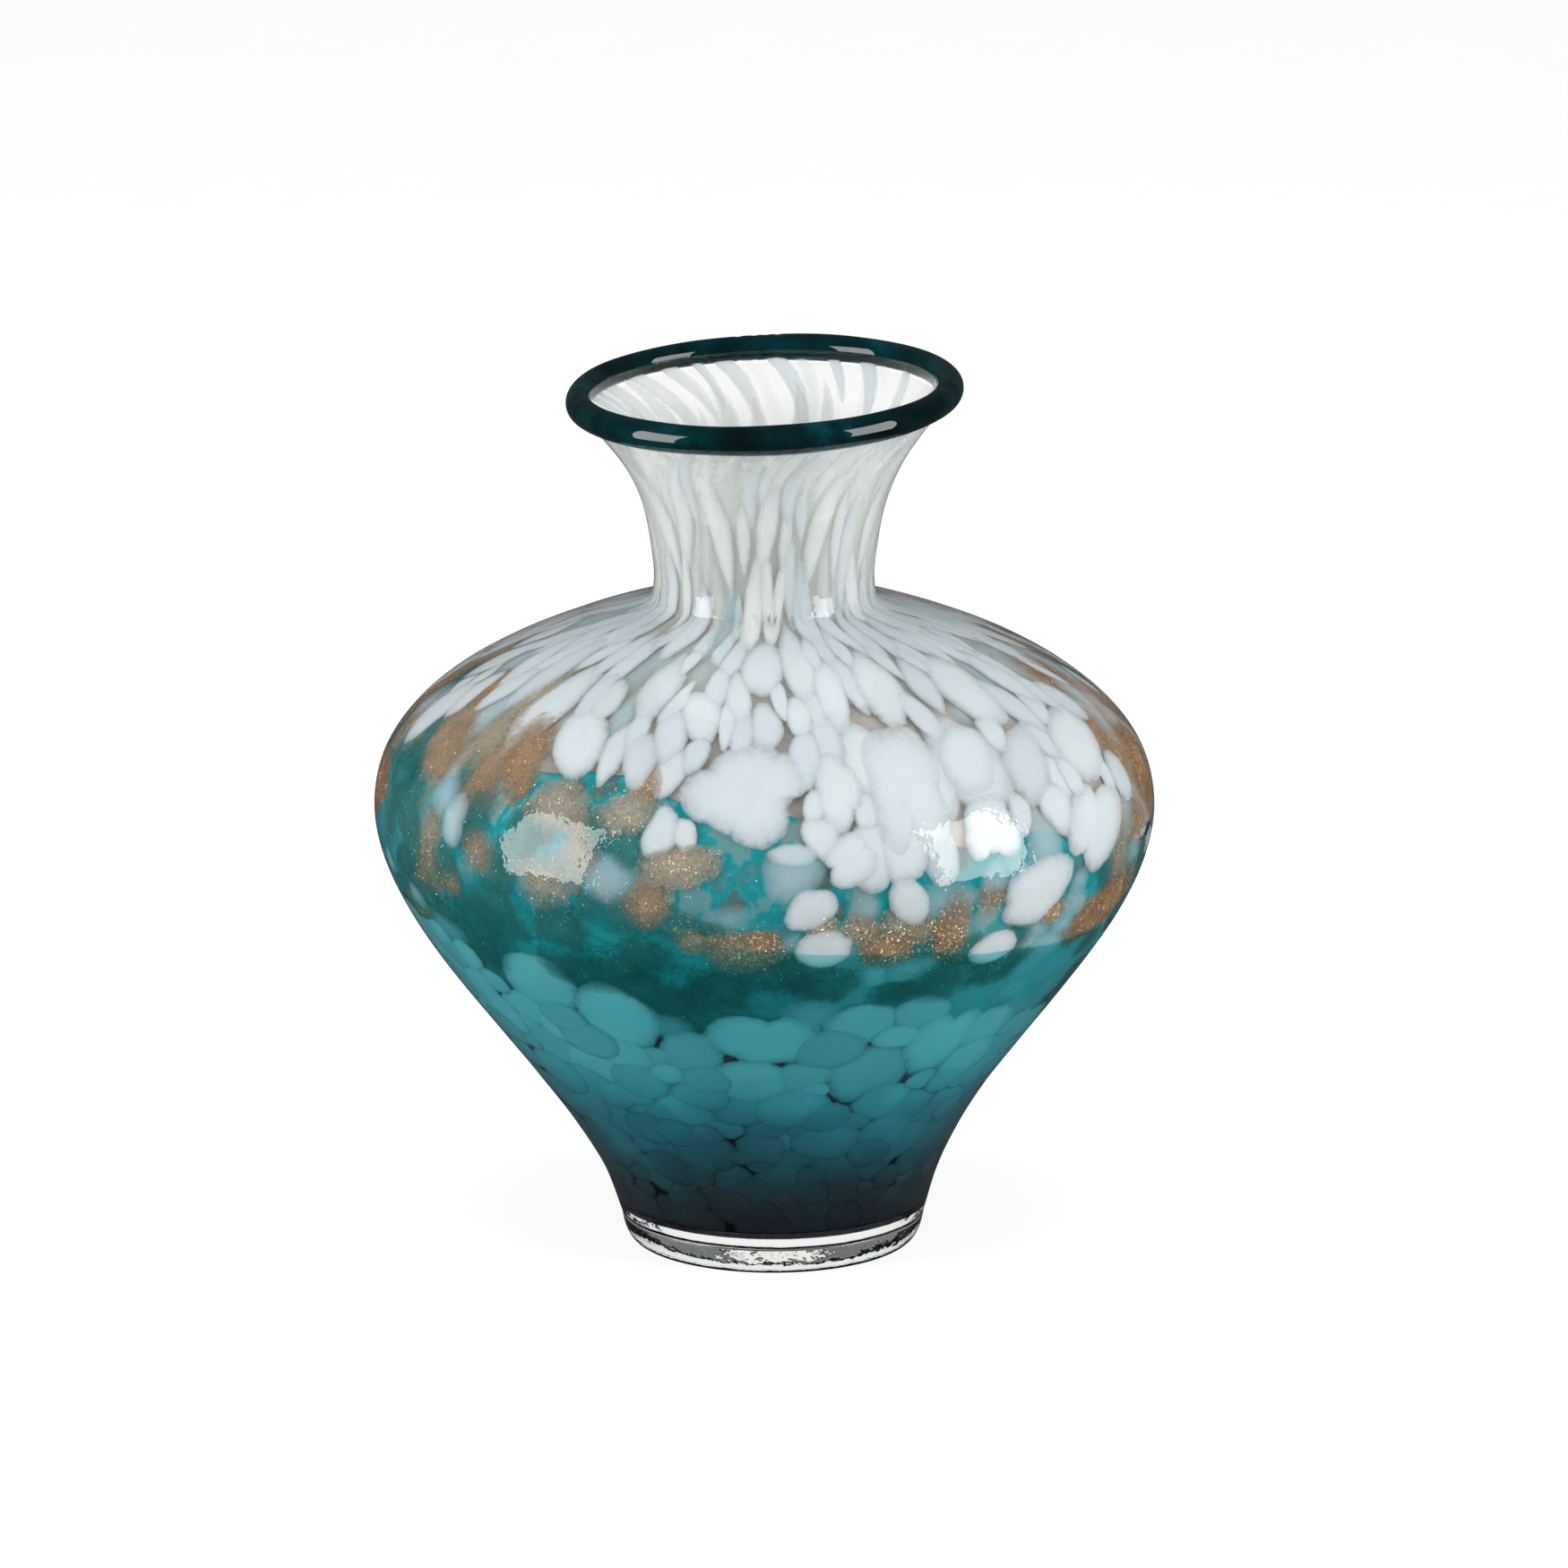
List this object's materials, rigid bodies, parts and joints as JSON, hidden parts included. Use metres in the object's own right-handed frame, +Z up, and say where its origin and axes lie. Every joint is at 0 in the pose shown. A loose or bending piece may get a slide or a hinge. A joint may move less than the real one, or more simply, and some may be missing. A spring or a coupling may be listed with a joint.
{
  "type": "vase",
  "caption": "Hand-blown cased glass vase: round shoulder, flared neck with a wrapped lip, frit chips under clear casing, clear foot.",
  "frame": {"origin": "on the plane the vase stands on, under the centre of the belly", "axes": "+Z up along the vase, -Y towards the side the picture shows, +X to that view's right"},
  "size_m": [0.2238, 0.2238, 0.2564],
  "materials": {
    "clear_glass": "polished, clear with a faint warm grey edge",
    "teal_glass": "polished transparent teal",
    "turquoise_glass": "mottled translucent turquoise",
    "purple_glass": "near-black purple",
    "opal_white": "opal white under clear glass",
    "copper_aventurine": "copper and gold glitter in brown glass",
    "dark_teal_thread": "polished dark teal"
  },
  "bodies": {
    "root": {"clear_foot": "clear_glass", "copper_chip_01": "copper_aventurine", "copper_chip_02": "copper_aventurine", "copper_chip_03": "copper_aventurine", "copper_chip_04": "copper_aventurine", "copper_chip_05": "copper_aventurine", "copper_chip_06": "copper_aventurine", "copper_chip_07": "copper_aventurine", "copper_chip_08": "copper_aventurine", "copper_chip_09": "copper_aventurine", "copper_chip_10": "copper_aventurine", "copper_chip_11": "copper_aventurine", "copper_chip_12": "copper_aventurine", "copper_chip_13": "copper_aventurine", "copper_chip_14": "copper_aventurine", "dark_cup": "purple_glass", "inner_bubble": "clear_glass", "lip_wrap": "dark_teal_thread", "neck_streak_01": "opal_white", "neck_streak_02": "opal_white", "neck_streak_03": "opal_white", "neck_streak_04": "opal_white", "neck_streak_05": "opal_white", "neck_streak_06": "opal_white", "neck_streak_07": "opal_white", "neck_streak_08": "opal_white", "outer_casing": "clear_glass", "teal_overlay": "teal_glass", "turquoise_ground": "turquoise_glass", "white_chip_01": "opal_white", "white_chip_02": "opal_white", "white_chip_03": "opal_white", "white_chip_04": "opal_white", "white_chip_05": "opal_white", "white_chip_06": "opal_white", "white_chip_07": "opal_white", "white_chip_08": "opal_white", "white_chip_09": "opal_white", "white_chip_10": "opal_white", "white_chip_11": "opal_white", "white_chip_12": "opal_white", "white_chip_13": "opal_white", "white_chip_14": "opal_white", "white_chip_15": "opal_white", "white_chip_16": "opal_white", "white_chip_17": "opal_white", "white_chip_18": "opal_white", "white_chip_19": "opal_white", "white_chip_20": "opal_white", "white_chip_21": "opal_white", "white_chip_22": "opal_white", "white_chip_23": "opal_white", "white_chip_24": "opal_white", "white_chip_25": "opal_white", "white_chip_26": "opal_white", "white_chip_27": "opal_white", "white_chip_28": "opal_white", "white_chip_29": "opal_white", "white_chip_30": "opal_white", "white_chip_31": "opal_white"}
  },
  "joints": []
}
